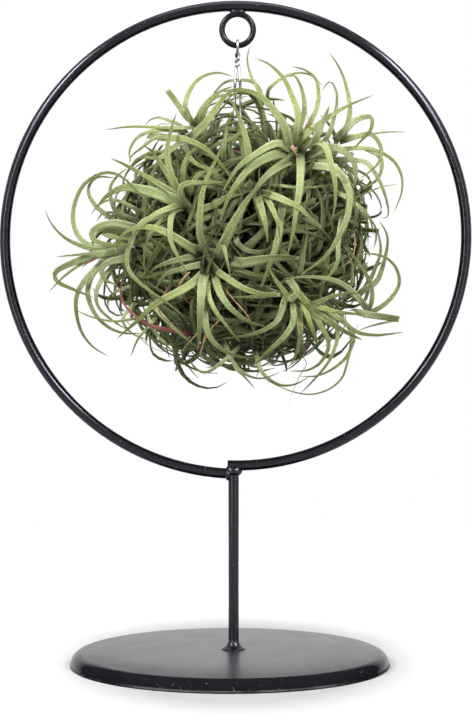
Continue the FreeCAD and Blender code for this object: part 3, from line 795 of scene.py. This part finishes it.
# Each rosette: where it grows on the knot, as elevation and azimuth in degrees, how yellow its
# leaves are, and the leaves that the photo shows: width in pixels, tone, layer, midline in
# pixels, and where they differ from the rest, kind and bluntness
rosettes = [
    {"place": (46, 42), "tone": 0.6, "leaves": [
        (8, 0.9, 0, [(290, 147), (296, 128), (297, 113), (291, 96), (283, 79), (269, 65),
                     (254, 58)]),
        (6, 0.7, 1, [(297, 145), (311, 120), (317, 105), (318, 93), (315, 79), (304, 70),
                     (290, 66)]),
        (7, 0.3, 1, [(292, 146), (299, 128), (304, 109), (301, 89), (294, 76), (287, 78)]),
        (9, 0.2, 0, [(310, 150), (318, 132), (329, 106)]),
        (6, 0.3, 1, [(313, 150), (326, 138), (333, 118), (336, 97), (332, 84), (327, 83),
                     (321, 92)]),
        (8, 0.8, 0, [(296, 145), (304, 136), (325, 120), (346, 107), (373, 95)]),
        (4, 0.7, 2, [(266, 100), (268, 90), (276, 82), (286, 76), (299, 73), (311, 76), (322, 86)]),
        (10, 0.6, 0, [(289, 152), (284, 128), (273, 110), (259, 96), (241, 90), (220, 92)]),
        (9, 0.6, 0, [(290, 151), (276, 144), (255, 155), (237, 169), (223, 191)]),
        (10, 0.5, 0, [(289, 155), (275, 155), (256, 164), (241, 178), (228, 199), (220, 222)]),
        (10, 0.35, 1, [(298, 158), (280, 166), (262, 181), (245, 205)]),
        (8, 0.75, 0, [(301, 150), (309, 142), (318, 142), (326, 149), (331, 165), (335, 184),
                      (335, 205), (332, 219)]),
        (10, 0.35, 1, [(305, 158), (326, 148), (342, 151), (353, 163), (355, 179), (350, 195)]),
        (9, 0.5, 0, [(299, 153), (300, 170), (299, 191), (296, 212), (293, 232), (288, 254)]),
        (3, 0.5, 0, [(309, 132), (308, 122), (307, 114)], "dry"),
        (5, 0.5, 0, [(296, 156), (294, 150), (291, 146)], "dry", 0.6),
        (4, 0.85, 1, [(270, 104), (262, 96), (256, 87), (250, 74), (247, 60), (249, 45)]),
        (12, 0.1, 5, [(285, 138), (299, 151), (310, 172), (316, 196)]),
        (5, 0.5, 11, [(262, 104), (258, 90), (250, 82), (240, 80), (229, 82), (218, 92),
                      (210, 104)]),
    ]},
    {"place": (15, -30), "tone": 0.62, "leaves": [
        (8, 0.7, 0, [(186, 204), (179, 197), (151, 179), (128, 166), (111, 158)]),
        (14, 0.5, 0, [(190, 207), (180, 203), (160, 195), (142, 190), (125, 188), (108, 196),
                      (94, 211)]),
        (9, 0.7, 0, [(187, 203), (179, 191), (170, 170), (168, 149), (172, 128), (177, 113)]),
        (8, 0.35, 1, [(186, 201), (176, 187), (162, 165), (152, 151), (143, 145)]),
        (8, 0.6, 0, [(188, 212), (182, 197), (182, 187), (191, 183), (207, 183), (224, 182)]),
        (7, 0.7, 0, [(186, 208), (182, 205), (156, 214), (141, 227), (131, 240), (126, 251)]),
        (7, 0.5, 0, [(189, 206), (173, 213), (170, 235), (173, 247), (181, 262), (189, 278)]),
        (7, 0.55, 0, [(188, 208), (160, 216), (141, 224), (129, 248), (127, 264), (134, 277),
                      (149, 290), (165, 301), (184, 316)]),
        (5, 0.55, 1, [(187, 209), (160, 222), (147, 240), (144, 260), (145, 276)]),
        (8, 0.75, 0, [(150, 135), (166, 138), (184, 139), (205, 148), (222, 165), (235, 184)]),
        (8, 0.55, 0, [(196, 212), (215, 204), (232, 193), (246, 178)]),
        (7, 0.65, 1, [(190, 203), (183, 180), (186, 160), (197, 148), (213, 143)]),
        (7, 0.5, 1, [(188, 201), (195, 180), (205, 172), (220, 171)]),
    ]},
    {"place": (-15, -13), "tone": 0.55, "leaves": [
        (10, 0.85, 0, [(210, 256), (197, 251), (170, 235), (153, 228), (137, 228), (123, 235),
                       (114, 255)]),
        (9, 0.25, 1, [(207, 258), (198, 256), (177, 260), (159, 266), (150, 272)]),
        (8, 0.2, 0, [(209, 262), (202, 264), (184, 268), (165, 275), (156, 289)]),
        (10, 0.9, 0, [(213, 262), (210, 266), (198, 279), (184, 289), (156, 304), (139, 320),
                      (117, 339)]),
        (12, 0.55, 0, [(214, 268), (222, 248), (233, 224), (246, 202), (262, 181)]),
        (9, 0.75, 0, [(212, 264), (202, 240), (200, 226), (202, 198), (208, 177), (219, 154),
                      (224, 136)]),
        (11, 0.3, 0, [(208, 264), (203, 280), (201, 301), (200, 322), (198, 350)]),
        (6, 1.0, 0, [(210, 270), (208, 289), (214, 308), (226, 325), (241, 343)]),
        (9, 0.6, 0, [(214, 266), (216, 278), (221, 294), (232, 309), (248, 321), (266, 327)]),
        (7, 0.7, 0, [(209, 265), (226, 277), (243, 288), (262, 294), (280, 295)], "green", 0.5),
        (8, 0.5, 1, [(206, 290), (206, 322), (212, 339), (224, 350), (241, 357), (258, 357)]),
        (12, 0.35, 0, [(228, 250), (232, 259), (242, 262), (262, 259), (281, 257), (299, 258)],
         "green", 0.35),
        (5, 0.8, 0, [(216, 262), (223, 246), (228, 264), (231, 280)]),
        (7, 0.6, 1, [(222, 268), (240, 270), (258, 275), (272, 272)]),
        (6, 0.05, 1, [(244, 221), (237, 230), (237, 241), (245, 249), (257, 252), (269, 249),
                      (275, 240)], "green", 0.5),
        (1.2, 0.5, 0, [(216, 276), (220, 282), (234, 300), (247, 315), (254, 331), (264, 342)],
         "dry"),
        (1.2, 0.5, 0, [(226, 314), (211, 329), (203, 345), (198, 359)], "dry"),
        (1.2, 0.5, 0, [(210, 318), (196, 335), (184, 349), (176, 362)], "dry"),
        (1.1, 0.5, 0, [(206, 330), (203, 345), (201, 356), (206, 368)], "dry"),
        (2, 0.5, 1, [(202, 306), (190, 303), (184, 296), (189, 290)], "red"),
        (2, 0.5, 1, [(185, 285), (172, 285), (164, 296), (160, 312), (170, 322), (184, 325)],
         "red"),
        (2.5, 0.5, 0, [(178, 290), (184, 278), (190, 272)], "dry", 0.5),
    ]},
    {"place": (-26, 33), "tone": 0.6, "leaves": [
        (7, 1.0, 0, [(296, 292), (304, 300), (318, 307), (339, 312), (367, 315)]),
        (10, 0.6, 0, [(298, 296), (310, 308), (324, 318), (344, 331), (362, 340)]),
        (6, 0.95, 0, [(297, 298), (304, 308), (311, 326), (317, 343)], "green", 0.35),
        (7, 0.9, 0, [(294, 290), (299, 294), (310, 309)], "green", 0.75),
        (7, 0.85, 0, [(297, 291), (291, 299), (285, 293), (276, 281), (266, 264)]),
        (8, 0.25, 0, [(286, 278), (293, 285), (297, 293), (290, 300)], "green", 0.7),
        (8, 0.55, 0, [(291, 296), (293, 319), (285, 335), (269, 350), (251, 368)]),
        (8, 0.4, 1, [(297, 300), (299, 320), (300, 337), (296, 353), (290, 365)]),
        (8, 0.45, 0, [(289, 288), (284, 300), (276, 321), (255, 333), (222, 339)]),
        (7, 0.5, 0, [(296, 292), (311, 303), (332, 296), (350, 293), (360, 294)]),
        (7, 0.45, 1, [(296, 286), (299, 274), (303, 256), (306, 238), (307, 222)]),
        (6, 0.4, 1, [(288, 290), (262, 296), (240, 297), (231, 297)]),
        (6, 0.5, 1, [(304, 304), (318, 322), (328, 343), (321, 361), (307, 370), (288, 371)]),
        (5, 0.8, 0, [(330, 316), (337, 332), (334, 348), (327, 363), (313, 380), (299, 394)]),
        (5, 0.55, 1, [(335, 310), (352, 333), (351, 346), (344, 359), (330, 370), (315, 376),
                      (298, 376)]),
        (1.1, 0.5, 0, [(296, 318), (301, 323), (308, 331)], "dry"),
        (1.0, 0.5, 1, [(307, 340), (303, 356), (306, 364), (299, 376), (292, 392), (288, 404)],
         "red"),
    ]},
    {"place": (15, 12), "tone": 0.55, "leaves": [
        (9, 0.75, 0, [(250, 182), (249, 156), (245, 135), (238, 114), (229, 97)]),
        (9, 0.8, 0, [(256, 195), (265, 194), (283, 200), (299, 208), (310, 218), (323, 228)]),
        (9, 0.7, 0, [(256, 192), (262, 211), (266, 226), (268, 243)]),
        (7, 0.75, 0, [(262, 192), (272, 208), (278, 224), (280, 240)]),
        (4, 0.5, 1, [(256, 188), (263, 186), (280, 186), (304, 188), (337, 184)]),
        (8, 0.5, 1, [(260, 190), (278, 215), (279, 240), (272, 262), (262, 286)]),
        (9, 0.55, 0, [(282, 196), (281, 215), (277, 240), (268, 268), (260, 289)]),
        (6, 0.85, 1, [(252, 196), (240, 215), (230, 236), (226, 256)]),
        (6, 0.7, 1, [(225, 168), (224, 152), (226, 136), (227, 120)]),
        (5, 0.6, 1, [(238, 165), (230, 150), (236, 136), (252, 130), (268, 124)]),
        (1, 0.5, 0, [(229, 148), (238, 152), (250, 157)], "red"),
    ]},
    {"place": (-5, -71), "tone": 0.5, "leaves": [
        (6, 0.45, 0, [(126, 249), (108, 249), (89, 245), (77, 233), (73, 216), (77, 198), (86, 183),
                      (103, 173), (119, 175), (136, 189), (153, 211)]),
        (6, 0.3, 1, [(124, 232), (112, 219), (98, 208), (90, 196), (90, 185), (99, 177),
                     (116, 178)]),
        (6, 0.25, 1, [(132, 226), (122, 219), (113, 205), (111, 188), (118, 176), (128, 168)]),
        (6, 0.5, 0, [(112, 252), (86, 247), (66, 238), (52, 224), (45, 210)]),
        (9, 0.3, 0, [(146, 232), (130, 226), (114, 223), (100, 226), (92, 233), (96, 241),
                     (112, 245), (136, 244)]),
        (8, 0.3, 1, [(140, 236), (120, 230), (104, 232), (112, 237), (140, 240)]),
        (5, 0.35, 0, [(128, 250), (108, 251), (86, 254), (55, 257)]),
        (9, 0.35, 0, [(130, 250), (100, 254), (72, 263), (57, 271), (56, 278), (60, 283), (78, 291),
                      (95, 298)]),
        (4, 0.8, 0, [(98, 257), (80, 265), (65, 276), (49, 292)]),
        (7, 0.4, 0, [(112, 254), (99, 266), (86, 280), (78, 294), (77, 311), (82, 331), (93, 346),
                     (110, 357)]),
        (7, 0.3, 1, [(112, 258), (97, 269), (90, 283), (89, 297), (96, 314), (109, 327), (125, 333),
                     (143, 333)]),
        (6, 0.3, 1, [(118, 262), (103, 279), (97, 294), (100, 308), (114, 321), (130, 331)]),
        (9, 0.1, 0, [(132, 257), (109, 262), (102, 270), (106, 280), (118, 285)]),
        (2.5, 0.5, 0, [(100, 256), (93, 260), (86, 264), (82, 269)], "red"),
        (5, 0.3, 2, [(150, 218), (128, 205), (112, 200), (98, 206), (90, 216)]),
        (5, 0.2, 2, [(148, 224), (120, 214), (104, 213), (96, 222)]),
    ]},
    {"place": (52, -56), "tone": 0.6, "leaves": [
        (6, 0.85, 0, [(195, 128), (188, 113), (186, 103), (193, 86), (205, 76), (219, 73),
                      (234, 77)]),
        (6, 0.55, 0, [(192, 124), (186, 116), (177, 103), (168, 91)], "green", 0.85),
        (5, 0.65, 0, [(186, 128), (172, 122), (160, 118), (151, 120), (145, 126)]),
        (4.5, 0.75, 0, [(198, 128), (170, 128), (149, 127), (128, 127), (105, 130)]),
        (6, 0.7, 0, [(188, 132), (169, 130), (154, 131), (139, 137), (131, 148), (130, 156),
                     (132, 163)]),
        (5, 0.5, 0, [(186, 138), (168, 138), (156, 138), (142, 148), (132, 156), (129, 165)]),
        (10, 0.7, 0, [(190, 140), (205, 125), (216, 109), (227, 95), (240, 87)]),
        (7, 0.6, 1, [(196, 130), (200, 115), (208, 102), (220, 92), (234, 86)]),
        (7, 0.4, 1, [(190, 136), (172, 150), (160, 158), (140, 158), (128, 170)]),
        (1, 0.5, 0, [(170, 124), (159, 125), (152, 134), (142, 148), (140, 160)], "red"),
        (6, 0.4, 2, [(200, 135), (206, 110), (216, 98), (232, 95), (246, 100)]),
        (6, 0.5, 2, [(185, 145), (192, 160), (205, 168), (222, 170)]),
    ]},
    {"place": (-28, 84), "tone": 0.55, "leaves": [
        (6, 0.45, 0, [(365, 314), (371, 300), (370, 283), (364, 272), (355, 258), (343, 246)]),
        (6, 0.5, 1, [(360, 292), (369, 279), (374, 269), (380, 252), (378, 234), (371, 218)]),
        (8, 0.3, 1, [(352, 300), (362, 290), (376, 280), (384, 259), (387, 237), (379, 220)]),
        (6, 0.55, 0, [(362, 315), (374, 310), (388, 300), (398, 285), (396, 269), (386, 258),
                      (372, 254), (357, 255)]),
        (7, 0.3, 0, [(352, 310), (366, 314), (385, 317), (398, 319)], "green", 0.85),
        (3, 0.3, 1, [(394, 320), (370, 326), (357, 331)]),
        (6, 0.65, 0, [(318, 303), (343, 322), (357, 332), (374, 335), (388, 334), (404, 332)]),
        (7, 0.4, 0, [(368, 311), (350, 290), (332, 280), (307, 277), (283, 279)]),
        (3.5, 0.4, 1, [(337, 314), (349, 330), (350, 346), (346, 364), (341, 378), (328, 389),
                       (311, 394), (294, 392), (276, 385), (260, 377)]),
        (5, 0.4, 2, [(340, 300), (350, 285), (352, 265), (346, 250)]),
    ]},
    {"place": (12, 62), "tone": 0.55, "leaves": [
        (8, 0.4, 0, [(335, 140), (353, 122), (366, 117), (371, 120), (369, 131), (360, 141),
                     (352, 150)]),
        (6, 0.7, 0, [(342, 140), (349, 113), (346, 90), (339, 69), (328, 52)]),
        (2.5, 0.7, 1, [(345, 136), (369, 134), (388, 132), (407, 132)]),
        (6, 0.5, 0, [(340, 142), (366, 134), (376, 139), (381, 151), (378, 163), (369, 172),
                     (358, 180)]),
        (5, 0.7, 0, [(338, 150), (359, 148), (377, 151), (393, 161), (401, 176), (401, 193),
                     (394, 213)]),
        (6, 0.35, 0, [(336, 160), (352, 160), (366, 163), (376, 176), (383, 191), (388, 208),
                      (387, 217), (380, 218)]),
        (2, 0.6, 1, [(350, 200), (366, 193), (381, 187), (398, 184)]),
        (6, 0.45, 1, [(362, 148), (378, 156), (381, 168), (376, 180), (362, 190)]),
        (9, 0.6, 0, [(316, 156), (330, 166), (342, 177), (349, 196), (347, 217), (339, 236),
                     (324, 258), (299, 276)]),
        (9, 0.2, 1, [(304, 166), (327, 168), (340, 176), (352, 194), (356, 214)]),
        (7, 0.4, 1, [(342, 214), (338, 240), (337, 262), (329, 275), (318, 285), (303, 287)]),
        (1.2, 0.5, 0, [(354, 231), (355, 246), (351, 260), (339, 268)], "dry"),
        (6, 0.4, 2, [(330, 190), (350, 200), (368, 216), (374, 236)]),
    ]},
    {"place": (-39, -52), "tone": 0.4, "leaves": [
        (4.6, 0.5, 0, [(191, 334), (173, 330), (153, 326), (137, 317), (124, 303), (121, 289),
                       (127, 272)], "red"),
        (3.5, 0.7, 0, [(140, 318), (131, 319), (114, 321), (93, 317), (74, 309)]),
        (4, 0.6, 0, [(158, 316), (147, 329), (138, 340), (131, 357)]),
        (5, 0.1, 1, [(132, 286), (120, 290), (109, 296)]),
        (1, 0.5, 0, [(138, 334), (146, 343), (158, 350), (168, 352)], "red"),
        (6, 0.35, 1, [(150, 300), (165, 318), (180, 333), (196, 346)]),
        (5, 0.3, 1, [(148, 310), (152, 325), (162, 340), (176, 354)]),
        (5, 0.35, 2, [(140, 300), (128, 312), (124, 322), (134, 334), (152, 341)]),
    ]},
    {"place": (-54, -4), "tone": 0.35, "leaves": [
        (5, 0.45, 1, [(255, 350), (262, 372), (278, 384), (294, 384), (310, 376)]),
        (4, 0.2, 1, [(230, 352), (236, 368), (245, 377), (255, 389)]),
        (5, 0.3, 1, [(240, 345), (222, 362), (206, 372), (194, 366), (188, 352)]),
        (5, 0.3, 1, [(225, 340), (232, 360), (246, 374), (262, 378), (280, 372)]),
    ]},
]
backRosettes = [                   # elevation, azimuth and tone of those that the photo hides
    (50, 125, 0.5), (50, -145, 0.5), (9, 143, 0.5), (8, -168, 0.45), (6, -119, 0.5),
    (14, 103, 0.5), (-32, 128, 0.45), (-33, 178, 0.45), (-32, -118, 0.45),
]
rosettes += [{"place": place, "tone": tone, "leaves": []} for *place, tone in backRosettes]


# A rosette's piece holds its plain leaves, its short old ones, a fringe where it faces down, and
# the leaves from the photo
def makeRosettes():
    for number, rosette in enumerate(rosettes, start=1):
        elevation, azimuth = np.radians(rosette["place"])
        axis = np.array([math.sin(azimuth) * math.cos(elevation),
                         -math.cos(azimuth) * math.cos(elevation), math.sin(elevation)])
        scale = plant["underShare"] if rosette["leaves"] else 1
        shapes = [crownShape, oldLeafShape]
        if elevation < 0:
            shapes.append(fringeShape)
        sets = [crownLeaves(axis, shape, rosette["tone"], scale) for shape in shapes]
        sets += [photoLeaf(*leaf) for leaf in rosette["leaves"]]
        piece = joinLeaves("airPlant_%02d" % number, sets, "rosette_%02d" % number)
        print(piece.name, "with", len(piece.data.polygons), "faces")


makeRosettes()
